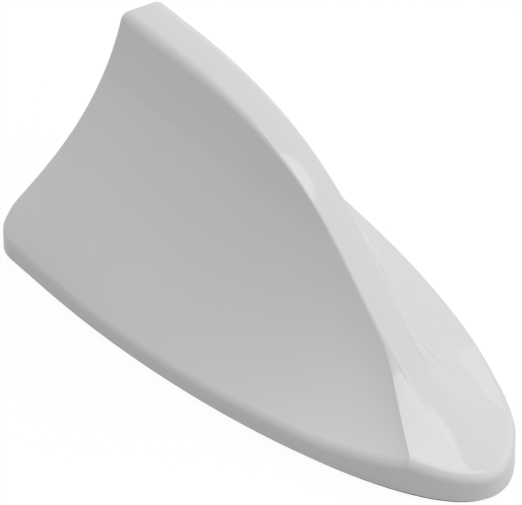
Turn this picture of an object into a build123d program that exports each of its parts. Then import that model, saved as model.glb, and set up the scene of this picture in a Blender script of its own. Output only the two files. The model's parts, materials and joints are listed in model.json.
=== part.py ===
from build123d import *
import os
from math import cos, radians, sin, sqrt

# A car's roof aerial under a fin-shaped cover, stuck to the roof by a foam pad.
# The nose points along +X, and the origin is on the roof under the middle of the cover.

# Cover, overall size
length = 150.0
width = 74.6
height = 55.4
wall = 2.2

# Cover, outline seen from above
widest_from_rear = 28.0
nose_fullness = 0.49
side_fullness = 0.51
rear_corner_length = 12.6
rear_corner_width = 14.2

# Cover, spine seen from the side: a level crest and one long slope down to the nose
crest_length = 30.0
crest_reach = 76.0
nose_reach = 55.0
nose_slope = 0.22
nose_height = 6.9

# Cover, spine seen from above: a narrow strip whose edges fan out over the nose
spine_width = 6.6
spine_edge_width = 2.4
spine_edge_drop = 1.7
spine_front_edge_width = 0.4
spine_front_edge_drop = 0.3
spine_edge_roundness = 0.85
spine_edge_fade = 30.0
fan_from_nose = 33.8
fan_side_gap = 2.94
fan_bend = 3.0
fan_fall = 0.16

# Cover, flanks that are hollow below the spine and roll over into an upright rim
flank_hollow = 0.44
flank_front_hollow = 0.36
flank_lead = 0.83
flank_margin = 1.0
flank_power = 2.1
flank_nose_reach = 21.5
flank_rear_reach = 6.5
shoulder_rear_rise = 10.1
shoulder_rear_angle = 74.0
shoulder_front_rise = 5.9
shoulder_front_angle = 15.0
shoulder_fade = 16.0
rim_height = 2.6
rim_nose_height = 5.4
rim_round = 2.5

# Cover, concave trailing edge seen from the side
tip_from_rear = 11.0
tail_lean = 1.0
tail_waist_height = 21.0
tail_flare = 6.4
tail_flare_height = 5.0
tail_height = 3.5
tail_round = 1.0

# Cover, screw bosses
boss_diameter = 6.0
rear_boss_from_rear = 17.0
rear_boss_spacing = 44.0
front_boss_from_nose = 37.0
front_boss_spacing = 26.0

# Seal and foam pad under the cover
pad_thickness = 1.0
seal_set_back = 1.3
seal_tuck = 3.0
lip_thickness = 1.2
lip_height = 0.8
fit_gap = 0.15

# Base plate
plate_thickness = 1.8
plate_chamfer = 0.5
rib_width = 1.2
rib_height = 2.0
rib_length = 56.0
rib_spacing = 34.0
post_diameter = 5.0
post_height = 4.2

# Screws
cover_screw_diameter = 2.0
cover_screw_length = 7.5
cover_screw_head = 4.2
small_screw_diameter = 1.8
small_screw_length = 4.8
small_screw_head = 3.6
small_screw_head_height = 1.2
screw_clearance = 0.1
small_screw_crown = 0.4
recess_width = 0.5
recess_depth = 0.6
cover_screw_recess = 2.5
small_screw_recess = 2.2

# Amplifier board
board_from_rear = 23.0
board_length = 64.0
board_width = 26.0
board_thickness = 1.2
board_corner = 2.0
board_screw_edge = 3.5

# Screening can and the chips under it
can_from_front = 15.0
can_length = 16.0
can_width = 18.0
can_height = 4.5
can_corner = 1.0
can_sheet = 0.3
vent_diameter = 1.2
vent_pitch = 3.5
chip_length = 5.0
chip_width = 3.9
chip_height = 1.4
chip_standoff = 0.2
lead_width = 0.4
lead_pitch = 1.27
lead_reach = 1.0
part_length = 2.0
part_width = 1.2
part_height = 0.8
part_chamfer = 0.1
part_pitch = 4.2
part_row = 6.0

# Filter capacitor and choke coils behind the can
filter_gap = 7.0
filter_spacing = 13.0
capacitor_diameter = 6.0
capacitor_height = 7.5
capacitor_groove = 0.4
capacitor_foot = 0.8
choke_diameter = 6.0
choke_waist = 4.4
choke_height = 5.0
choke_flange = 1.0

# Lead socket at the front edge of the board
socket_body_length = 6.0
socket_body_height = 5.6
socket_body_chamfer = 0.5
socket_barrel = 5.0
socket_bore = 3.6
socket_reach = 6.0
socket_pin_diameter = 0.9
socket_pin_round = 0.3
socket_insulator_length = 4.0

# Lead grommet
grommet_from_nose = 49.0
grommet_neck = 7.0
grommet_flange = 10.0
grommet_flange_thickness = 0.8
grommet_sleeve = 3.0
grommet_sleeve_top = 5.2
grommet_bore = 3.2

# Loading coil on its former
coil_from_rear = 33.0
coil_turns = 8
coil_pitch = 3.3
coil_strip_width = 1.2
coil_strip_thickness = 0.5
former_core = 8.0
former_flange = 12.0
former_flange_thickness = 1.5
former_neck = 3.6
stake_diameter = 2.4
stake_head_height = 0.6
former_peg = 1.5
terminal_diameter = 1.0

# Top-load plate, a folded saddle under the crest
saddle_from_rear = 17.0
saddle_length = 24.0
saddle_gap = 0.9
saddle_sheet = 0.4
saddle_leg = 12.0

# Places and levels that follow from the sizes above
nose_x = length / 2
rear_x = -length / 2
widest_x = rear_x + widest_from_rear
corner_x = rear_x + rear_corner_length
crest_x = rear_x + crest_length
fan_x = nose_x - fan_from_nose
edge_fade_x = fan_x - spine_edge_fade
tip_x = rear_x + tip_from_rear
lip_inset = wall + fit_gap
plate_inset = lip_inset + lip_thickness + fit_gap
pad_inset = plate_inset + seal_tuck + fit_gap
plate_top = pad_thickness + plate_thickness
board_bottom = plate_top + post_height
board_top = board_bottom + board_thickness
board_rear_x = rear_x + board_from_rear
board_front_x = board_rear_x + board_length
board_x = (board_rear_x + board_front_x) / 2
can_x = board_front_x - can_from_front - can_length / 2
filter_x = can_x - can_length / 2 - filter_gap
grommet_x = nose_x - grommet_from_nose
coil_x = rear_x + coil_from_rear
coil_bottom = board_top + former_flange_thickness + coil_strip_width
coil_top = coil_bottom + coil_turns * coil_pitch
saddle_inset = wall + saddle_gap
cover_screw_hole = cover_screw_diameter + screw_clearance
small_screw_hole = small_screw_diameter + screw_clearance
cover_screw_places = [
    (x, side * spacing / 2)
    for x, spacing in (
        (rear_x + rear_boss_from_rear, rear_boss_spacing),
        (nose_x - front_boss_from_nose, front_boss_spacing),
    )
    for side in (1, -1)
]
board_screw_places = [
    (x, side * (board_width / 2 - board_screw_edge))
    for x in (board_rear_x + board_screw_edge, board_front_x - board_screw_edge)
    for side in (1, -1)
]

# Room that cutting shapes leave beyond what they cut
overrun = 3.0
nose_overrun = 1.0
touch = 0.01
coil_radius = (former_core + coil_strip_thickness) / 2 + touch

# Spacing of the cover's sections where they are closest and widest
station_step = 2.5
station_limit = 8.0


def plan(inset):
    """The cover's outline seen from above, drawn in by an inset."""
    nose = nose_x - inset
    rear = rear_x + inset
    half = width / 2 - inset
    corner_length = rear_corner_length - inset
    corner_width = rear_corner_width - inset
    side_pull = widest_x + side_fullness * (nose - widest_x)
    edge = Curve() + [
        Bezier((nose, 0), (nose, nose_fullness * half), (side_pull, half), (widest_x, half)),
        Line((widest_x, half), (corner_x, half)),
        EllipticalCenterArc(
            (corner_x, half - corner_width), corner_length, corner_width, start_angle=90, arc_size=90
        ),
        Line((rear, half - corner_width), (rear, 0)),
    ]
    return make_face(edge + mirror(edge, about=Plane.XZ))


def slab(inset, bottom, top):
    """A flat slab of the cover's outline between two levels."""
    return Pos(0, 0, bottom) * extrude(plan(inset), top - bottom)


def between(x, start, end, start_x, end_x):
    """A value that runs evenly from one figure to another between two stations."""
    share = min(max((x - start_x) / (end_x - start_x), 0), 1)
    return start + (end - start) * share


def spine_place(x):
    """Height and slope of the spine at one station."""
    if x <= crest_x:
        return height, 0
    slope_line = Bezier(
        (crest_x, height),
        (crest_x + crest_reach, height),
        (nose_x - nose_reach, nose_height + nose_slope * nose_reach),
        (nose_x, nose_height),
    )
    if x >= nose_x:
        return nose_height - nose_slope * (x - nose_x), -nose_slope
    low = 0.0
    high = 1.0
    while high - low > touch / length:
        share = (low + high) / 2
        if (slope_line @ share).X < x:
            low = share
        else:
            high = share
    way = slope_line % low
    return (slope_line @ low).Y, way.Y / way.X


def flank_foot(x):
    """Half the distance between the feet of the flanks, just outside the outline."""
    full = width / 2 + flank_margin
    share = 0
    if x < corner_x:
        share = (corner_x - x) / (rear_corner_length + flank_rear_reach)
    elif x > widest_x:
        share = (x - widest_x) / (nose_x + flank_nose_reach - widest_x)
    return full * (1 - share**flank_power) ** (1 / flank_power)


def fan_run(x):
    """How far a station lies past the start of the fan, eased in by the fan's bend."""
    run = x - fan_x
    return (run + sqrt(run * run + fan_bend * fan_bend)) / 2


def spine_guides(x):
    """Start and end of the spine's edge, which opens to a sloping fan over the nose."""
    reach = flank_foot(nose_x) - fan_side_gap - spine_width / 2 - spine_front_edge_width
    fan = reach * fan_run(x) / fan_run(nose_x)
    fall = between(x, fan_fall, 0, fan_x, nose_x)
    edge_width = between(x, spine_edge_width, spine_front_edge_width, crest_x, edge_fade_x)
    edge_drop = between(x, spine_edge_drop, spine_front_edge_drop, crest_x, edge_fade_x)
    spine = Vector(spine_width / 2, spine_place(x)[0])
    return spine, spine + Vector(edge_width + fan, -edge_drop - fall * fan)


def edge_round(x):
    """How far the spine's edge is rounded: fully at the crest and not at all over the nose."""
    return between(x, 1, 0, edge_fade_x, fan_x)


def flank_guides(x, edge):
    """Hollow, shoulder and foot that guide one flank below the spine's edge."""
    share = max(x / nose_x, 0)
    foot = Vector(flank_foot(x), rim_height + (rim_nose_height - rim_height) * share * share)
    middle = (edge + foot) / 2
    depth = between(x, flank_hollow, flank_front_hollow, crest_x, fan_x)
    hollow = middle + (Vector(edge.X, foot.Y) - middle) * depth
    lead = edge + (hollow - edge) * flank_lead
    angle = radians(between(x, shoulder_rear_angle, shoulder_front_angle, crest_x, fan_x))
    rise = between(x, shoulder_rear_rise, shoulder_front_rise, crest_x, fan_x)
    rise *= min(1, (edge.Y - foot.Y) / shoulder_fade)
    return lead, foot + Vector(-cos(angle), sin(angle)) * rise, foot


def edge_corner(x, spine, edge, lead):
    """The corner that the spine's edge rounds off, where the flank's line comes up to the spine's level."""
    return edge + (edge - lead) * (edge_round(x) * (spine.Y - edge.Y) / (edge.Y - lead.Y))


def drawn_in(guides, depth):
    """Guide points of a flank moved inwards by a depth, below a level top."""
    ways = [(end - start).normalized() for start, end in zip(guides, guides[1:])]
    inward = [Vector(0, -1)] + [Vector(way.Y, -way.X) for way in ways]
    return [
        point + (before + after) * (depth / (1 + before.dot(after)))
        for point, before, after in zip(guides, inward, inward[1:] + inward[-1:])
    ]


def section(x, inset):
    """The fin's section at one station: spine, flanks and uprights below their feet."""
    spine, edge = spine_guides(x)
    lead, shoulder, foot = flank_guides(x, edge)
    corner = edge_corner(x, spine, edge, lead)
    if inset:
        slope = spine_place(x)[1]
        depth = inset * sqrt(1 + slope * slope)
        edge, lead, shoulder, foot = drawn_in([corner, lead, shoulder, foot], depth)
        spine = edge
    middle = (spine + edge) / 2
    crown = Vector(middle.X, spine.Y)
    crown += (corner - crown) * edge_round(x)
    lean = middle + (crown - middle) * spine_edge_roundness
    edges = [
        Line((-spine.X, spine.Y), (spine.X, spine.Y)),
        Line((-foot.X, -overrun), (foot.X, -overrun)),
    ]
    for side in (1, -1):
        if not inset:
            edges.append(Bezier(*[(side * point.X, point.Y) for point in (spine, lean, edge)]))
        edges.append(Bezier(*[(side * point.X, point.Y) for point in (edge, lead, shoulder, foot)]))
        edges.append(Line((side * foot.X, foot.Y), (side * foot.X, -overrun)))
    across = Plane(origin=(x, 0, 0), x_dir=(0, 1, 0), z_dir=(1, 0, 0))
    return across * make_face(edges)


def stations():
    """Places of the sections, closest together where the fan opens."""
    places = [fan_x]
    step = station_step
    while places[0] > rear_x or places[-1] < nose_x:
        if places[0] > rear_x:
            places.insert(0, max(places[0] - step, rear_x - overrun))
        if places[-1] < nose_x:
            places.append(min(places[-1] + step, nose_x + nose_overrun))
        step = min(step + station_step / 2, station_limit)
    return places


def tail_curve(inset):
    """The trailing edge seen from the side, moved forward by an inset."""
    return Bezier(
        (rear_x - overrun + inset, tail_height - inset),
        (rear_x + tail_flare + inset, tail_flare_height - inset),
        (tip_x - tail_lean + inset, tail_waist_height),
        (tip_x + inset, height + overrun),
    )


def tail_cut(inset):
    """All that lies behind the trailing edge."""
    curve = tail_curve(inset)
    low = curve @ 0
    high = curve @ 1
    back = rear_x - length
    side = Curve() + [
        curve,
        Line((high.X, high.Y), (back, high.Y)),
        Line((back, high.Y), (back, low.Y)),
        Line((back, low.Y), (low.X, low.Y)),
    ]
    return Pos(0, width, 0) * extrude(Plane.XZ * make_face(side), 2 * width)


def fin_block(inset, bottom):
    """The fin before its trailing edge is cut, drawn in by an inset and cut level at the bottom."""
    flanks = loft([section(x, inset) for x in stations()])
    return flanks & slab(inset, bottom, height + overrun)


def fin_body(inset, bottom):
    """The fin as a full body with its trailing edge."""
    return fin_block(inset, bottom) - tail_cut(inset)


def rim_edges(body, top):
    """The edges along the upright rim, on a body that is cut level at the top."""
    low = pad_thickness + touch
    edges = set()
    for face in body.faces():
        box = face.bounding_box()
        if box.min.Z < low and box.size.Z > touch:
            edges.update(face.edges())
    return [edge for edge in edges if low < edge.bounding_box().min.Z < top - touch]


def tail_face(body):
    """The face along the trailing edge."""
    middle = tail_curve(0) @ 0.5
    return body.faces().sort_by_distance((middle.X, 0, middle.Y))[0]


def fin_outside():
    """The cover's outside as a full body, rounded along its rim and its trailing edge."""
    block = fin_block(0, pad_thickness)
    middle = height / 2
    lower = block & slab(-overrun, 0, middle)
    upper = block & slab(-overrun, middle, height + overrun)
    body = fillet(rim_edges(lower, middle), rim_round) + upper - tail_cut(0)
    return fillet(tail_face(body).edges(), tail_round)


def turned(points, x, y=0.0):
    """A body turned about an upright axis from (radius, level) points."""
    profile = make_face(Polyline(*points, close=True))
    return Pos(x, y, 0) * revolve(Plane.XZ * profile, Axis.Z)


def cross_recess(top, width_across):
    """The crossed slots of a screw head, cut down from its top."""
    slot = Box(width_across, recess_width, recess_depth)
    return Pos(0, 0, top - recess_depth / 2) * (slot + Rot(0, 0, 90) * slot)


def make_fin_cover():
    """The moulded shell: a lofted fin of even wall, with four screw bosses inside."""
    shell = fin_outside() - fin_body(wall, 0) - slab(wall, 0, plate_top)
    boss_room = fin_body(wall / 2, plate_top)
    for x, y in cover_screw_places:
        boss = Pos(x, y, plate_top + height / 2) * Cylinder(boss_diameter / 2, height)
        shell += boss & boss_room
    for x, y in cover_screw_places:
        tip = pad_thickness + cover_screw_length + screw_clearance
        shell -= Pos(x, y, tip / 2) * Cylinder(cover_screw_hole / 2, tip)
    return shell


def make_rim_seal():
    """The rubber ring under the cover's edge, with a lip between cover and plate."""
    foot = slab(seal_set_back, 0, pad_thickness)
    foot -= slab(plate_inset + seal_tuck, -overrun, pad_thickness + overrun)
    lip = slab(lip_inset, pad_thickness, pad_thickness + lip_height)
    lip -= slab(lip_inset + lip_thickness, 0, height)
    return foot + lip


def make_adhesive_pad():
    """The foam pad inside the seal, with a hole for the grommet."""
    hole = grommet_flange / 2 + fit_gap
    return slab(pad_inset, 0, pad_thickness) - Pos(grommet_x, 0, 0) * Cylinder(hole, overrun)


def make_base_plate():
    """The moulded plate with ribs, board posts, countersunk holes and the grommet hole."""
    plate = slab(plate_inset, pad_thickness, plate_top)
    plate = chamfer(plate.faces().sort_by(Axis.Z)[-1].edges(), plate_chamfer)
    for side in (1, -1):
        rib = Box(rib_length, rib_width, rib_height)
        plate += Pos(board_x, side * rib_spacing / 2, plate_top + rib_height / 2) * rib
    for x, y in board_screw_places:
        plate += Pos(x, y, plate_top + post_height / 2) * Cylinder(post_diameter / 2, post_height)
        tip = board_top - small_screw_length - screw_clearance
        depth = board_bottom - tip
        plate -= Pos(x, y, board_bottom - depth / 2) * Cylinder(small_screw_hole / 2, depth)
    for x, y in cover_screw_places:
        plate -= Pos(x, y, 0) * countersunk_form(screw_clearance / 2)
    return plate - Pos(grommet_x, 0, plate_top) * Cylinder(grommet_neck / 2, height)


def countersunk_form(ease_off):
    """A countersunk screw's head and shank, head down, made larger by an ease all round."""
    head = cover_screw_head / 2 + ease_off
    shank = cover_screw_diameter / 2 + ease_off
    cone_top = pad_thickness + head - shank
    tip = pad_thickness + cover_screw_length
    point = tip - 2 * shank
    return turned(
        [(0, pad_thickness), (head, pad_thickness), (shank, cone_top), (shank, point), (0, tip)], 0
    )


def make_cover_screws():
    """Four countersunk screws, driven up through the plate into the cover's bosses."""
    screw = countersunk_form(0)
    screw -= cross_recess(pad_thickness + recess_depth, cover_screw_recess)
    return Compound([Pos(x, y, 0) * screw for x, y in cover_screw_places])


def small_screw(seat):
    """A pan-head screw standing on a level seat."""
    top = seat + small_screw_head_height
    tip = seat - small_screw_length
    head = small_screw_head / 2
    shank = small_screw_diameter / 2
    form = turned(
        [
            (0, tip),
            (shank, tip + shank),
            (shank, seat),
            (head, seat),
            (head, top - small_screw_crown),
            (head - small_screw_crown, top),
            (0, top),
        ],
        0,
    )
    return form - cross_recess(top, small_screw_recess)


def make_board_screws():
    """Four screws that hold the board on its posts."""
    return Compound([Pos(x, y, 0) * small_screw(board_top) for x, y in board_screw_places])


def coil_hole(diameter):
    """An upright hole beside the coil's axis, under the start of the strip."""
    return Pos(coil_x + coil_radius, 0, 0) * Cylinder(diameter / 2, 2 * coil_bottom)


def make_amplifier_board():
    """The circuit board with rounded corners and its drilled holes."""
    blank = RectangleRounded(board_length, board_width, board_corner)
    board = Pos(board_x, 0, board_bottom) * extrude(blank, board_thickness)
    for x, y in board_screw_places:
        board -= Pos(x, y, board_bottom) * Cylinder(small_screw_hole / 2, height)
    for side in (1, -1):
        hole = Cylinder(former_peg / 2 + fit_gap, height)
        board -= Pos(coil_x, side * coil_radius, board_bottom) * hole
    return board - coil_hole(terminal_diameter + 2 * fit_gap)


def make_shield_can():
    """The folded sheet can over the amplifier chip, open below and vented on top."""
    outer = RectangleRounded(can_length, can_width, can_corner)
    inner = RectangleRounded(can_length - 2 * can_sheet, can_width - 2 * can_sheet, can_corner - can_sheet)
    can = extrude(outer, can_height) - extrude(inner, can_height - can_sheet)
    for place in GridLocations(vent_pitch, vent_pitch, 3, 3):
        can -= Pos(0, 0, can_height) * place * Cylinder(vent_diameter / 2, 2 * can_sheet + touch)
    return Pos(can_x, 0, board_top) * can


def make_amplifier_chip():
    """The chip's moulded body with four bent leads on each side."""
    body = extrude(Rectangle(chip_length, chip_width), chip_height)
    body = Pos(0, 0, chip_standoff) * chamfer(body.faces().sort_by(Axis.Z)[-1].edges(), chip_standoff)
    root = chip_width / 2
    sheet = chip_standoff
    knee = chip_standoff + chip_height / 2
    lead = make_face(
        Polyline(
            (root, knee),
            (root + lead_reach / 2, knee),
            (root + lead_reach / 2, sheet),
            (root + lead_reach, sheet),
            (root + lead_reach, 0),
            (root + lead_reach / 2 - sheet, 0),
            (root + lead_reach / 2 - sheet, knee - sheet),
            (root, knee - sheet),
            close=True,
        )
    )
    for step in range(4):
        x = (step - 1.5) * lead_pitch
        for turn in (0, 180):
            bent = Plane.YZ * lead
            bent = Pos(-lead_width / 2, 0, 0) * extrude(bent, lead_width)
            body += Rot(0, 0, turn) * (Pos(x, 0, 0) * bent)
    return Pos(can_x, 0, board_top) * body


def make_chip_parts():
    """Small chip capacitors and resistors in two rows beside the amplifier chip."""
    block = Box(part_length, part_width, part_height)
    block = chamfer(block.faces().sort_by(Axis.Z)[-1].edges(), part_chamfer)
    level = board_top + part_height / 2
    return Compound(
        [
            Pos(can_x + (step - 1) * part_pitch, side * part_row, level) * block
            for side in (1, -1)
            for step in range(3)
        ]
    )


def make_filter_capacitor():
    """An electrolytic can, turned with its crimp groove, on a square foot."""
    radius = capacitor_diameter / 2
    neck = radius - capacitor_groove
    low = board_top + capacitor_foot
    top = board_top + capacitor_height
    can = turned(
        [
            (0, low),
            (radius, low),
            (radius, low + capacitor_foot),
            (neck, low + capacitor_foot + capacitor_groove),
            (radius, low + capacitor_foot + 2 * capacitor_groove),
            (radius, top - capacitor_groove),
            (radius - capacitor_groove, top),
            (0, top),
        ],
        filter_x,
        filter_spacing / 2,
    )
    foot = extrude(RectangleRounded(capacitor_diameter, capacitor_diameter, capacitor_foot), capacitor_foot)
    return can + Pos(filter_x, filter_spacing / 2, board_top) * foot


def make_choke_coils():
    """Two drum-core chokes standing on the board."""
    radius = choke_diameter / 2
    waist = choke_waist / 2
    top = board_top + choke_height
    places = [(filter_x, -filter_spacing / 2), (filter_x, 0)]
    return Compound(
        [
            turned(
                [
                    (0, board_top),
                    (radius, board_top),
                    (radius, board_top + choke_flange),
                    (waist, board_top + choke_flange),
                    (waist, top - choke_flange),
                    (radius, top - choke_flange),
                    (radius, top),
                    (0, top),
                ],
                x,
                y,
            )
            for x, y in places
        ]
    )


def socket_axis(x):
    """A place on the lead socket's level axis, turned to point forward."""
    return Pos(x, 0, board_top + socket_body_height / 2) * Rot(0, 90, 0)


def make_coax_socket():
    """The lead socket's metal body: a block on the board and a bored barrel ahead of it."""
    back = board_front_x - socket_body_length
    block = Box(socket_body_length, socket_body_height, socket_body_height)
    block = Pos((back + board_front_x) / 2, 0, board_top + socket_body_height / 2) * block
    block = chamfer(block.edges().filter_by(Axis.X).sort_by(Axis.Z)[-2:], socket_body_chamfer)
    barrel = socket_axis(board_front_x + socket_reach / 2) * Cylinder(socket_barrel / 2, socket_reach)
    depth = socket_reach + socket_body_length - board_thickness
    bore = Cylinder(socket_bore / 2, depth)
    return block + barrel - socket_axis(board_front_x + socket_reach - depth / 2) * bore


def make_socket_insulator():
    """The white bush at the bottom of the socket that carries the pin."""
    back = board_front_x - socket_body_length + board_thickness
    place = socket_axis(back + socket_insulator_length / 2)
    bush = Cylinder(socket_bore / 2, socket_insulator_length)
    return place * (bush - Cylinder(socket_pin_diameter / 2, socket_insulator_length + touch))


def make_socket_pin():
    """The socket's centre pin, with a domed end."""
    back = board_front_x - socket_body_length + board_thickness
    front = board_front_x + socket_reach - board_thickness
    pin = Cylinder(socket_pin_diameter / 2, front - back)
    pin = fillet(pin.edges().sort_by(Axis.Z)[-1], socket_pin_round)
    return socket_axis((back + front) / 2) * pin


def make_cable_grommet():
    """The rubber grommet for the lead, clipped into the plate by its two flanges."""
    bore = grommet_bore / 2
    neck = grommet_neck / 2
    flange = grommet_flange / 2
    shoulder = plate_top + grommet_flange_thickness
    return turned(
        [
            (bore, pad_thickness - grommet_flange_thickness),
            (flange, pad_thickness - grommet_flange_thickness),
            (flange, pad_thickness),
            (neck, pad_thickness),
            (neck, plate_top),
            (flange, plate_top),
            (flange, shoulder),
            (neck, shoulder),
            (grommet_sleeve_top / 2, shoulder + grommet_sleeve),
            (bore, shoulder + grommet_sleeve),
        ],
        grommet_x,
    )


def saddle_under():
    """Level of the saddle's underside, below the crest."""
    return height - saddle_inset - saddle_sheet


def make_coil_former():
    """The plastic former: a flange pegged to the board, a core, and a neck staked over the saddle."""
    flange_top = board_top + former_flange_thickness
    core_top = coil_top + coil_strip_width / 2
    saddle_over = saddle_under() + saddle_sheet
    former = turned(
        [
            (0, board_top),
            (former_flange / 2, board_top),
            (former_flange / 2, flange_top),
            (former_core / 2, flange_top),
            (former_core / 2, core_top),
            (former_neck / 2, core_top),
            (former_neck / 2, saddle_under()),
            (stake_diameter / 2, saddle_under()),
            (stake_diameter / 2, saddle_over),
            (former_neck / 2, saddle_over),
            (stake_diameter / 2, saddle_over + stake_head_height),
            (0, saddle_over + stake_head_height),
        ],
        coil_x,
    )
    for side in (1, -1):
        peg = Cylinder(former_peg / 2, board_thickness)
        former += Pos(coil_x, side * coil_radius, board_top - board_thickness / 2) * peg
    return former - coil_hole(terminal_diameter + 2 * fit_gap)


def make_loading_coil():
    """The flat strip wound round the former's core, a whole number of turns."""
    line = Helix(coil_pitch, coil_turns * coil_pitch, coil_radius, center=(coil_x, 0, coil_bottom))
    start = Plane(origin=line @ 0, x_dir=(1, 0, 0), z_dir=line % 0)
    return sweep(start * Rectangle(coil_strip_thickness, coil_strip_width), path=line, is_frenet=True)


def make_coil_terminals():
    """Pins that take the coil's two ends to the board and to the saddle."""
    low_end = coil_bottom - coil_strip_width / 2 - fit_gap
    low_start = board_bottom - board_thickness
    high_start = coil_top + coil_strip_width / 2 + fit_gap
    pins = []
    for start, end in ((low_start, low_end), (high_start, saddle_under())):
        pin = Cylinder(terminal_diameter / 2, end - start)
        pins.append(Pos(coil_x + coil_radius, 0, (start + end) / 2) * pin)
    return Compound(pins)


def make_top_load_plate():
    """The folded metal saddle under the crest, with legs along the flanks."""
    rims = []
    spine, edge = spine_guides(crest_x)
    flank = flank_guides(crest_x, edge)
    corner = edge_corner(crest_x, spine, edge, flank[0])
    for depth in (saddle_inset, saddle_inset + saddle_sheet):
        fold, lead = drawn_in([corner, *flank], depth)[:2]
        end = fold + (lead - fold).normalized() * saddle_leg
        rims.append([(-end.X, end.Y), (-fold.X, fold.Y), (fold.X, fold.Y), (end.X, end.Y)])
    sheet = make_face(Polyline(*rims[0], *reversed(rims[1]), close=True))
    start = rear_x + saddle_from_rear
    saddle = extrude(Plane(origin=(start, 0, 0), x_dir=(0, 1, 0), z_dir=(1, 0, 0)) * sheet, saddle_length)
    return saddle - Pos(coil_x, 0, height) * Cylinder(stake_diameter / 2, height / 2)


pieces = {
    "fin_cover": make_fin_cover,
    "rim_seal": make_rim_seal,
    "adhesive_pad": make_adhesive_pad,
    "base_plate": make_base_plate,
    "cover_screws": make_cover_screws,
    "amplifier_board": make_amplifier_board,
    "board_screws": make_board_screws,
    "shield_can": make_shield_can,
    "amplifier_chip": make_amplifier_chip,
    "chip_parts": make_chip_parts,
    "filter_capacitor": make_filter_capacitor,
    "choke_coils": make_choke_coils,
    "coax_socket": make_coax_socket,
    "socket_insulator": make_socket_insulator,
    "socket_pin": make_socket_pin,
    "cable_grommet": make_cable_grommet,
    "coil_former": make_coil_former,
    "loading_coil": make_loading_coil,
    "coil_terminals": make_coil_terminals,
    "top_load_plate": make_top_load_plate,
}

os.makedirs("parts", exist_ok=True)
for name, make in pieces.items():
    export_step(make(), f"parts/{name}.step")
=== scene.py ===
"""Finishes and a studio for the fin-shaped roof aerial."""

import json
import math

import bpy
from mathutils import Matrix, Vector

bl_info = {
    "name": "Roof aerial finishes",
    "version": (1, 0, 0),
    "blender": (4, 5, 0),
    "location": "3D View > Sidebar > Aerial",
    "description": "Finishes the packed roof aerial and sets it in a studio",
    "category": "Material",
}

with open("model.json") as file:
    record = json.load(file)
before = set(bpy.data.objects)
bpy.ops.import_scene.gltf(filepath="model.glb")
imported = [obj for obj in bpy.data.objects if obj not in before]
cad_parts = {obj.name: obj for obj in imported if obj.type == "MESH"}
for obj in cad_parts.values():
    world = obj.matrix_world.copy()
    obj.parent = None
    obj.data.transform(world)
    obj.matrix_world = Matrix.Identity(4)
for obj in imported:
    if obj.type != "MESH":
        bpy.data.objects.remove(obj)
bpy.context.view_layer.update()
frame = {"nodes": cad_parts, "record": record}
slot_colours = {row["slot"]: row["base_color"] for row in frame["record"]["materials"]}

MM = 0.001
WHITE = (1, 1, 1, 1)

# The picture's width and its frame's shift across and up, in pixels, and the sensor's width in mm
IMAGE_WIDTH = 522
FRAME_SHIFT = (-36.63, 11.7)
SENSOR_WIDTH = 36

# The floor's width and level in metres, and the share of its white that is seen
FLOOR_WIDTH = 6
FLOOR_LEVEL = -0.05 * MM
FLOOR_WHITE = 0.85

# How white the floor and the sky are in gloss, against how white they are to the camera
FLOOR_WHITE_IN_GLOSS = 0.6
SKY_WHITE_IN_GLOSS = 1.0

# Each lamp's place, the point that it faces and its size, in metres
OVERHEAD_PLACE = (-0.05, 0.1, 1.0)
OVERHEAD_FACING = (-0.05, 0.1, 0.0)
OVERHEAD_SIZE = (0.7, 0.76)
WALL_PLACE = (0.6, 0.8, 0.9)
WALL_FACING = (0, 0, 0.02)
WALL_SIZE = (2.0, 1.2)


# Settings

def colour_setting(name, colour, text):
    """A colour."""
    return bpy.props.FloatVectorProperty(
        name=name, description=text, subtype="COLOR", min=0, max=1, default=colour
    )


def length_setting(name, size, text):
    """A length in metres."""
    return bpy.props.FloatProperty(
        name=name, description=text, subtype="DISTANCE", unit="LENGTH", min=0, default=size, precision=5
    )


def share_setting(name, share, text):
    """A share from 0 to 1."""
    return bpy.props.FloatProperty(
        name=name, description=text, subtype="FACTOR", min=0, max=1, default=share
    )


def strength_setting(name, strength, text):
    """A brightness, where 1 is that of a white wall."""
    return bpy.props.FloatProperty(name=name, description=text, min=0, default=strength)


def angle_setting(name, degrees, text):
    """An angle, given in degrees and kept in radians."""
    return bpy.props.FloatProperty(
        name=name, description=text, subtype="ANGLE", unit="ROTATION", default=math.radians(degrees)
    )


class AerialCoverSettings(bpy.types.PropertyGroup):
    """The moulded cover's finish."""

    colour: colour_setting("Plastic", slot_colours["cover"], "Colour of the moulded plastic")
    roughness: share_setting("Roughness", 0.07, "Roughness of the gloss")
    peel_size: length_setting("Peel size", 2.4 * MM, "Size of the gloss's faint waves")
    peel_depth: length_setting("Peel depth", 0.002 * MM, "Depth of the gloss's faint waves")
    crown_reach: length_setting(
        "Crown reach", 10 * MM, "Distance from the middle at which the spine's crown ends"
    )
    crown_height: length_setting("Crown height", 0.38 * MM, "Height of the spine's crown")
    line_place: length_setting(
        "Line place", 3.0 * MM, "Distance of the soft lines on the nose from the middle"
    )
    line_width: length_setting("Line width", 0.7 * MM, "Half the width of the soft lines on the nose")
    line_height: length_setting("Line height", 0.1 * MM, "Height of the soft lines on the nose")
    line_start: length_setting("Line start", 39 * MM, "Where the soft lines leave the spine's edges")
    line_end: length_setting("Line end", 52 * MM, "Where the soft lines are lost in the nose")
    line_fade: length_setting(
        "Line fade", 5 * MM, "Half the length over which the soft lines come and go"
    )


class AerialRubberSettings(bpy.types.PropertyGroup):
    """The rubber ring, the grommet and the foam pad."""

    seal_colour: colour_setting("Rubber", slot_colours["seal"], "Colour of the ring and the grommet")
    pad_colour: colour_setting("Foam", slot_colours["pad"], "Colour of the foam pad")
    grain_size: length_setting("Grain", 0.25 * MM, "Size of the rubber's grain")
    cell_size: length_setting("Foam cells", 0.5 * MM, "Size of the foam's cells")


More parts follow.
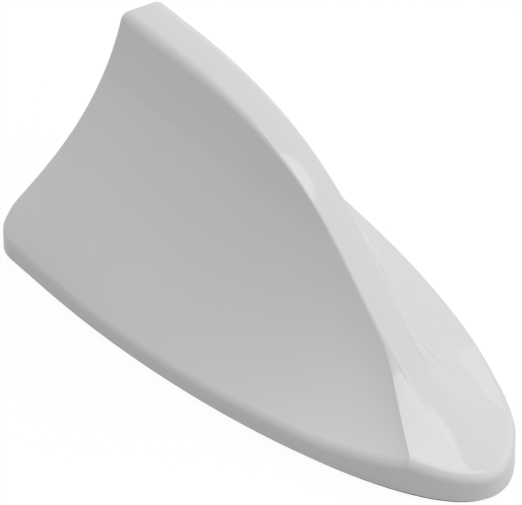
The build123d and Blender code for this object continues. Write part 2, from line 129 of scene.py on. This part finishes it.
class AerialPlateSettings(bpy.types.PropertyGroup):
    """The base plate and the plain plastic pieces."""

    plate_colour: colour_setting("Plate", slot_colours["plate"], "Colour of the base plate")
    former_colour: colour_setting("Former", slot_colours["former"], "Colour of the coil's former")
    insulator_colour: colour_setting(
        "Insulator", slot_colours["insulator"], "Colour of the socket's insulator"
    )
    grain_size: length_setting("Grain", 0.3 * MM, "Size of the moulded grain")


class AerialMetalSettings(bpy.types.PropertyGroup):
    """The screws, cans, brass pieces and the coil."""

    screw_colour: colour_setting("Zinc", slot_colours["screw"], "Colour of the zinc-plated screws")
    tin_colour: colour_setting("Tin", slot_colours["tin"], "Colour of the tinned sheet")
    can_colour: colour_setting("Aluminium", slot_colours["can"], "Colour of the capacitor's can")
    brass_colour: colour_setting("Brass", slot_colours["brass"], "Colour of the socket and pins")
    wire_colour: colour_setting("Copper", slot_colours["wire"], "Colour of the enamelled copper")


class AerialBoardSettings(bpy.types.PropertyGroup):
    """The circuit board, its small parts and the chokes."""

    resist_colour: colour_setting("Solder resist", slot_colours["board"], "Colour of the board")
    chip_colour: colour_setting("Epoxy", slot_colours["chip"], "Colour of the chip")
    ceramic_colour: colour_setting(
        "Ceramic", slot_colours["chip_part"], "Colour of the small chip parts"
    )
    ferrite_colour: colour_setting("Ferrite", slot_colours["ferrite"], "Colour of the chokes' cores")
    grain_size: length_setting("Grain", 0.2 * MM, "Size of the chip's and the chokes' grain")
    track_pitch: length_setting("Track pitch", 1.6 * MM, "Distance between printed tracks")


class AerialStageSettings(bpy.types.PropertyGroup):
    """The studio's floor, lamps and camera."""

    floor_colour: colour_setting("Floor", (0.4, 0.4, 0.4), "Colour of the floor")
    floor_glow: strength_setting("Floor glow", 1.12, "Strength of the floor's white")
    fill: strength_setting("Fill", 0.66, "Strength of the even light")
    overhead: strength_setting("Overhead box", 1.4, "Brightness of the box that the spine reflects")
    wall: strength_setting("Far wall", 1.1, "Brightness of the wall that lights the far side")
    azimuth: angle_setting("Azimuth", 56.21, "Turn of the camera round the aerial")
    elevation: angle_setting("Elevation", 33.29, "Height of the camera above the horizon")
    distance: length_setting("Distance", 1.245, "Distance of the camera from its target")
    target_height: length_setting("Target height", 20 * MM, "Height of the camera's target")
    lens: bpy.props.FloatProperty(
        name="Lens", description="Focal length of the camera in mm", min=1, default=385.98
    )


# Nodes

class Value:
    """A socket that carries one number, with the usual signs for sums and products."""

    def __init__(self, nodes, socket):
        self.nodes = nodes
        self.socket = socket

    def combine(self, operation, first, second):
        """The number that a Math node makes of two others."""
        made = self.nodes.node("ShaderNodeMath", {"operation": operation}, {0: first, 1: second})
        return Value(self.nodes, made.outputs[0])

    def __add__(self, other):
        return self.combine("ADD", self, other)

    def __radd__(self, other):
        return self.combine("ADD", other, self)

    def __sub__(self, other):
        return self.combine("SUBTRACT", self, other)

    def __rsub__(self, other):
        return self.combine("SUBTRACT", other, self)

    def __mul__(self, other):
        return self.combine("MULTIPLY", self, other)

    def __rmul__(self, other):
        return self.combine("MULTIPLY", other, self)

    def __abs__(self):
        return self.combine("ABSOLUTE", self, 0)


class Nodes:
    """The nodes of a material or of the world, made one by one."""

    def __init__(self, owner):
        owner.use_nodes = True
        self.owner = owner
        self.tree = owner.node_tree
        self.tree.nodes.clear()
        self.place = None

    def node(self, kind, settings=None, sockets=None):
        """Adds a node, sets it, then gives its sockets their numbers or links."""
        made = self.tree.nodes.new(kind)
        for key, value in (settings or {}).items():
            setattr(made, key, value)
        for key, value in (sockets or {}).items():
            if isinstance(value, Value):
                self.tree.links.new(value.socket, made.inputs[key])
            elif isinstance(value, bpy.types.NodeSocket):
                self.tree.links.new(value, made.inputs[key])
            else:
                made.inputs[key].default_value = value
        return made

    def position(self):
        """Where a point of the piece is, in metres."""
        if self.place is None:
            self.place = self.node("ShaderNodeTexCoord").outputs["Object"]
        return self.place

    def axis(self, name):
        """How far along one axis a point of the piece is, in metres."""
        made = self.node("ShaderNodeSeparateXYZ", None, {0: self.position()})
        return Value(self, made.outputs[name])

    def stretched(self, shares):
        """The position with its axes scaled."""
        made = self.node("ShaderNodeMapping", None, {"Vector": self.position(), "Scale": shares})
        return made.outputs["Vector"]

    def noise(self, size, detail=2.0, vector=None):
        """Soft noise whose waves have this size in metres."""
        made = self.node(
            "ShaderNodeTexNoise", None,
            {"Vector": vector or self.position(), "Scale": 1 / size, "Detail": detail},
        )
        return Value(self, made.outputs["Fac"])

    def cells(self, size):
        """Distance to the middle of rounded cells of this size in metres."""
        made = self.node("ShaderNodeTexVoronoi", None, {"Vector": self.position(), "Scale": 1 / size})
        return Value(self, made.outputs["Distance"])

    def step(self, value, low, high):
        """0 at low and before it, 1 at high and past it, and smooth between."""
        made = self.node(
            "ShaderNodeMapRange", {"interpolation_type": "SMOOTHSTEP"},
            {"Value": value, "From Min": low, "From Max": high},
        )
        return Value(self, made.outputs["Result"])

    def spread(self, share, low, high):
        """A number that is low where share is 0 and high where it is 1."""
        return low + (high - low) * share

    def mottled(self, share, colour, darkest, lightest):
        """A colour times darkest where share is 0 and times lightest where it is 1."""
        made = self.node(
            "ShaderNodeMix", {"data_type": "RGBA"},
            {"Factor": share, "A": shade(colour, darkest), "B": shade(colour, lightest)},
        )
        return made.outputs["Result"]

    def bump(self, height, depth=1.0):
        """A normal that rises and falls with height, which depth turns into metres."""
        made = self.node("ShaderNodeBump", None, {"Height": height, "Distance": depth, "Strength": 1.0})
        return made.outputs["Normal"]

    def surface(self, sockets):
        """The material, with its shader and output."""
        shader = self.node("ShaderNodeBsdfPrincipled", None, sockets)
        self.node("ShaderNodeOutputMaterial", None, {"Surface": shader.outputs[0]})
        return self.owner


def shade(colour, share):
    """An opaque colour made darker or lighter by a share."""
    return (*[min(1.0, part * share) for part in colour], 1.0)


def new_finish(name):
    """The nodes of a new material."""
    return Nodes(bpy.data.materials.new(name))


def dress(material, *names):
    """Gives CAD nodes a material."""
    for name in names:
        slots = frame["nodes"][name].data.materials
        slots.clear()
        slots.append(material)


# Finishes

def cover_relief(finish, settings):
    """Height in metres of the spine's crown, the soft lines on the nose and the faint waves."""
    along = finish.axis("X")
    aside = abs(finish.axis("Y"))
    place, width, fade = settings.line_place, settings.line_width, settings.line_fade
    wave = finish.noise(settings.peel_size, detail=1.0)
    crown = finish.step(aside, settings.crown_reach, 0)
    line = finish.step(aside, place - width, place) * finish.step(aside, place + width, place)
    line *= finish.step(along, settings.line_start - fade, settings.line_start + fade)
    line *= finish.step(along, settings.line_end + fade, settings.line_end - fade)
    return settings.crown_height * crown + settings.line_height * line + settings.peel_depth * wave


def gloss_plastic(settings):
    """White moulded plastic with a clear gloss, and the shallow relief of the moulding."""
    finish = new_finish("gloss plastic")
    tone = finish.noise(30 * MM, detail=1.0)
    flow = finish.noise(9 * MM)
    roughness_change = 0.02
    low, high = settings.roughness - roughness_change, settings.roughness + roughness_change
    return finish.surface({
        "Base Color": finish.mottled(tone, settings.colour, darkest=0.985, lightest=1.015),
        "Roughness": finish.spread(flow, low, high),
        "IOR": 1.5,
        "Normal": finish.bump(cover_relief(finish, settings)),
    })


def moulded_rubber(settings):
    """Black rubber with a fine grain and a dusty bloom."""
    finish = new_finish("moulded rubber")
    grain = finish.noise(settings.grain_size, detail=3.0)
    bloom = finish.step(finish.noise(6 * MM, detail=3.0), low=0.45, high=0.75)
    return finish.surface({
        "Base Color": finish.mottled(bloom, settings.seal_colour, darkest=1.0, lightest=1.6),
        "Roughness": finish.spread(bloom, low=0.55, high=0.7),
        "Normal": finish.bump(grain, depth=0.02 * MM),
    })


def foam_tape(settings):
    """Dark grey closed-cell foam, with painted shade in the cells' hollows and painted light on their
    edges.
    """
    finish = new_finish("foam tape")
    cell = finish.cells(settings.cell_size)
    blotch = finish.noise(4 * MM)
    # Painted shade and light: the foam is darker in the cells' hollows and lighter on their raised
    # edges.
    painted_cell_shade = finish.step(cell, low=0.25, high=0.7)
    return finish.surface({
        "Base Color": finish.mottled(painted_cell_shade, settings.pad_colour, darkest=0.7, lightest=1.3),
        "Roughness": finish.spread(blotch, low=0.8, high=0.95),
        "Normal": finish.bump(cell, depth=0.08 * MM),
    })


def grained_plastic(name, colour, size, roughness):
    """Matt moulded plastic with an etched grain."""
    finish = new_finish(name)
    grain = finish.noise(size, detail=4.0)
    flow = finish.noise(14 * MM)
    roughness_change = 0.12
    return finish.surface({
        "Base Color": finish.mottled(flow, colour, darkest=0.9, lightest=1.1),
        "Roughness": finish.spread(grain, roughness, roughness + roughness_change),
        "Normal": finish.bump(grain, depth=0.02 * MM),
    })


def plated_metal(name, colour, roughness, stretch):
    """Bright metal with fine marks drawn out along one axis and a faint stain."""
    finish = new_finish(name)
    marks = finish.noise(0.4 * MM, detail=3.0, vector=finish.stretched(stretch))
    stain = finish.noise(5 * MM)
    smoother, rougher = 0.06, 0.1
    return finish.surface({
        "Base Color": finish.mottled(stain, colour, darkest=0.9, lightest=1.05),
        "Metallic": 1.0,
        "Roughness": finish.spread(marks, roughness - smoother, roughness + rougher),
        "Normal": finish.bump(marks, depth=0.004 * MM),
    })


def printed_board(settings):
    """Green solder resist over etched tracks and a fine weave."""
    finish = new_finish("printed board")
    pitch = settings.track_pitch
    track_run, track_width, row_offset, weave_share = 4.6 * pitch, 0.16 * pitch, 0.37, 0.1
    tracks = finish.node(
        "ShaderNodeTexBrick", {"offset": row_offset, "squash": 1.0},
        {"Vector": finish.position(), "Scale": 1.0, "Mortar Size": track_width,
         "Mortar Smooth": 0.3, "Brick Width": track_run, "Row Height": pitch},
    )
    track = Value(finish, tracks.outputs["Fac"])
    weave = finish.noise(0.5 * MM)
    return finish.surface({
        "Base Color": finish.mottled(track, settings.resist_colour, darkest=1.0, lightest=1.7),
        "Roughness": finish.spread(weave, low=0.28, high=0.42),
        "Normal": finish.bump(track + weave_share * weave, depth=0.035 * MM),
    })


def fired_ceramic(settings):
    """Tan ceramic with a finely pitted surface, with painted shade darkening its hollows."""
    finish = new_finish("fired ceramic")
    pits_and_pit_shade = finish.noise(0.15 * MM, detail=3.0)
    return finish.surface({
        # Painted shade: the colour darkens in the pitted hollows, where the relief is lowest.
        "Base Color": finish.mottled(pits_and_pit_shade, settings.ceramic_colour, darkest=0.8, lightest=1.15),
        "Roughness": finish.spread(pits_and_pit_shade, low=0.5, high=0.7),
        "Normal": finish.bump(pits_and_pit_shade, depth=0.01 * MM),
    })


# Studio

def white_share(nodes, gloss):
    """1 for what is seen straight or through glass, a share in gloss, and 0 for light on the aerial."""
    path = nodes.node("ShaderNodeLightPath").outputs
    straight = Value(nodes, path["Is Camera Ray"])
    clear = Value(nodes, path["Is Transmission Ray"])
    shiny = Value(nodes, path["Is Glossy Ray"])
    return straight + clear + gloss * shiny


def pale_floor(settings):
    """A matt floor that takes the aerial's shadow and is mostly white to the eye."""
    finish = new_finish("pale floor")
    seen = white_share(finish, FLOOR_WHITE_IN_GLOSS)
    speck = finish.noise(80 * MM)
    colour = finish.mottled(speck, settings.floor_colour, darkest=0.99, lightest=1.0)
    matt = finish.node("ShaderNodeBsdfDiffuse", None, {"Color": colour})
    glow = finish.node("ShaderNodeEmission", None, {"Strength": settings.floor_glow})
    mixed = finish.node(
        "ShaderNodeMixShader", None,
        {"Fac": FLOOR_WHITE * seen, 1: matt.outputs[0], 2: glow.outputs[0]},
    )
    finish.node("ShaderNodeOutputMaterial", None, {"Surface": mixed.outputs[0]})
    return finish.owner


def soft_box(name, place, facing, size, brightness):
    """An oval lamp that faces a point and is this bright, where 1 is as bright as a white wall."""
    lamp = bpy.data.lights.new(name, "AREA")
    lamp.shape = "ELLIPSE"
    lamp.size, lamp.size_y = size
    lamp.energy = brightness * math.pi * lamp.size * lamp.size_y
    box = bpy.data.objects.new(name, lamp)
    box.location = place
    box.rotation_mode = "QUATERNION"
    box.rotation_quaternion = (Vector(facing) - Vector(place)).to_track_quat("-Z", "Y")
    box.visible_camera = False
    bpy.context.scene.collection.objects.link(box)
    return box


# Operators

class AERIAL_OT_cover(bpy.types.Operator):
    """Gives the moulded cover its gloss plastic"""

    bl_idname = "aerial.cover"
    bl_label = "Finish the cover"

    def execute(self, context):
        dress(gloss_plastic(context.scene.aerial_cover), "fin_cover")
        return {"FINISHED"}


class AERIAL_OT_rubber(bpy.types.Operator):
    """Gives the rubber ring, the grommet and the foam pad their finishes"""

    bl_idname = "aerial.rubber"
    bl_label = "Finish the rubber and foam"

    def execute(self, context):
        settings = context.scene.aerial_rubber
        dress(moulded_rubber(settings), "rim_seal", "cable_grommet")
        dress(foam_tape(settings), "adhesive_pad")
        return {"FINISHED"}


class AERIAL_OT_plate(bpy.types.Operator):
    """Gives the base plate, the former and the insulator their moulded plastics"""

    bl_idname = "aerial.plate"
    bl_label = "Finish the plain plastics"

    def execute(self, context):
        settings = context.scene.aerial_plate
        grain = settings.grain_size
        plate = grained_plastic("matt plate", settings.plate_colour, grain, roughness=0.5)
        nylon = grained_plastic("natural nylon", settings.former_colour, grain, roughness=0.4)
        white = grained_plastic("white insulator", settings.insulator_colour, grain, roughness=0.35)
        dress(plate, "base_plate")
        dress(nylon, "coil_former")
        dress(white, "socket_insulator")
        return {"FINISHED"}


class AERIAL_OT_metal(bpy.types.Operator):
    """Gives the screws, cans, brass pieces and the coil their metals"""

    bl_idname = "aerial.metal"
    bl_label = "Finish the metals"

    def execute(self, context):
        settings = context.scene.aerial_metal
        zinc = plated_metal("zinc plate", settings.screw_colour, roughness=0.32, stretch=(1, 1, 0.2))
        tin = plated_metal("tinned sheet", settings.tin_colour, roughness=0.3, stretch=(0.1, 1, 1))
        drawn = plated_metal("drawn aluminium", settings.can_colour, roughness=0.35, stretch=(1, 1, 0.1))
        brass = plated_metal("turned brass", settings.brass_colour, roughness=0.25, stretch=(0.3, 1, 1))
        copper = plated_metal(
            "enamelled copper", settings.wire_colour, roughness=0.28, stretch=(1, 1, 0.3)
        )
        dress(zinc, "cover_screws", "board_screws")
        dress(tin, "shield_can", "top_load_plate")
        dress(drawn, "filter_capacitor")
        dress(brass, "coax_socket", "socket_pin", "coil_terminals")
        dress(copper, "loading_coil")
        return {"FINISHED"}


class AERIAL_OT_board(bpy.types.Operator):
    """Gives the circuit board, its small parts and the chokes their finishes"""

    bl_idname = "aerial.board"
    bl_label = "Finish the board"

    def execute(self, context):
        settings = context.scene.aerial_board
        grain = settings.grain_size
        epoxy = grained_plastic("moulded epoxy", settings.chip_colour, grain, roughness=0.5)
        ferrite = grained_plastic("sintered ferrite", settings.ferrite_colour, grain, roughness=0.45)
        dress(printed_board(settings), "amplifier_board")
        dress(epoxy, "amplifier_chip")
        dress(fired_ceramic(settings), "chip_parts")
        dress(ferrite, "choke_coils")
        return {"FINISHED"}


class AERIAL_OT_stage(bpy.types.Operator):
    """Sets the floor, the lamps and the camera"""

    bl_idname = "aerial.stage"
    bl_label = "Set the studio"

    def execute(self, context):
        settings = context.scene.aerial_stage
        context.scene.view_settings.view_transform = "Standard"
        self.floor(settings)
        self.sky(settings)
        self.lamps(settings)
        self.camera(settings)
        return {"FINISHED"}

    def floor(self, settings):
        """The plain floor, just below the aerial."""
        bpy.ops.object.select_all(action="DESELECT")
        bpy.ops.mesh.primitive_plane_add(size=FLOOR_WIDTH, location=(0, 0, FLOOR_LEVEL))
        floor = bpy.context.active_object
        floor.name = "floor"
        floor.data.materials.append(pale_floor(settings))

    def sky(self, settings):
        """Even light from all round, behind which the sky is white."""
        world = bpy.data.worlds.new("studio")
        bpy.context.scene.world = world
        nodes = Nodes(world)
        seen = white_share(nodes, SKY_WHITE_IN_GLOSS)
        strength = nodes.spread(seen, settings.fill, 1.0)
        back = nodes.node("ShaderNodeBackground", None, {"Color": WHITE, "Strength": strength})
        nodes.node("ShaderNodeOutputWorld", None, {"Surface": back.outputs[0]})

    def lamps(self, settings):
        """A box overhead that only shows in the gloss, and a far wall that never does."""
        overhead = soft_box(
            "overhead box", OVERHEAD_PLACE, OVERHEAD_FACING, OVERHEAD_SIZE, settings.overhead
        )
        overhead.visible_diffuse = False
        wall = soft_box("far wall", WALL_PLACE, WALL_FACING, WALL_SIZE, settings.wall)
        wall.visible_glossy = False

    def camera(self, settings):
        """The camera at the picture's angle."""
        target = Vector((0, 0, settings.target_height))
        level = math.cos(settings.elevation)
        across = math.sin(settings.azimuth) * level
        along = -math.cos(settings.azimuth) * level
        back = Vector((across, along, math.sin(settings.elevation)))
        lens = bpy.data.cameras.new("photo camera")
        lens.sensor_fit = "HORIZONTAL"
        lens.sensor_width = SENSOR_WIDTH
        lens.lens = settings.lens
        lens.shift_x, lens.shift_y = [shift / IMAGE_WIDTH for shift in FRAME_SHIFT]
        camera = bpy.data.objects.new("photo camera", lens)
        camera.location = target + settings.distance * back
        camera.rotation_mode = "QUATERNION"
        camera.rotation_quaternion = (-back).to_track_quat("-Z", "Y")
        bpy.context.scene.collection.objects.link(camera)
        bpy.context.scene.camera = camera


class AERIAL_PT_sidebar(bpy.types.Panel):
    """Lists the steps and their settings"""

    bl_label = "Roof aerial"
    bl_idname = "AERIAL_PT_sidebar"
    bl_space_type = "VIEW_3D"
    bl_region_type = "UI"
    bl_category = "Aerial"

    def draw(self, context):
        for step, name, group in STEPS:
            part = self.layout.box()
            part.operator(step.bl_idname)
            for key in group.__annotations__:
                part.prop(getattr(context.scene, name), key)


STEPS = (
    (AERIAL_OT_cover, "aerial_cover", AerialCoverSettings),
    (AERIAL_OT_rubber, "aerial_rubber", AerialRubberSettings),
    (AERIAL_OT_plate, "aerial_plate", AerialPlateSettings),
    (AERIAL_OT_metal, "aerial_metal", AerialMetalSettings),
    (AERIAL_OT_board, "aerial_board", AerialBoardSettings),
    (AERIAL_OT_stage, "aerial_stage", AerialStageSettings),
)


def register():
    for step, name, group in STEPS:
        bpy.utils.register_class(group)
        setattr(bpy.types.Scene, name, bpy.props.PointerProperty(type=group))
        bpy.utils.register_class(step)
    bpy.utils.register_class(AERIAL_PT_sidebar)


def unregister():
    bpy.utils.unregister_class(AERIAL_PT_sidebar)
    for step, name, group in reversed(STEPS):
        bpy.utils.unregister_class(step)
        delattr(bpy.types.Scene, name)
        bpy.utils.unregister_class(group)


def main():
    register()
    bpy.ops.aerial.cover()
    bpy.ops.aerial.rubber()
    bpy.ops.aerial.plate()
    bpy.ops.aerial.metal()
    bpy.ops.aerial.board()
    bpy.ops.aerial.stage()


if __name__ == "__main__":
    main()
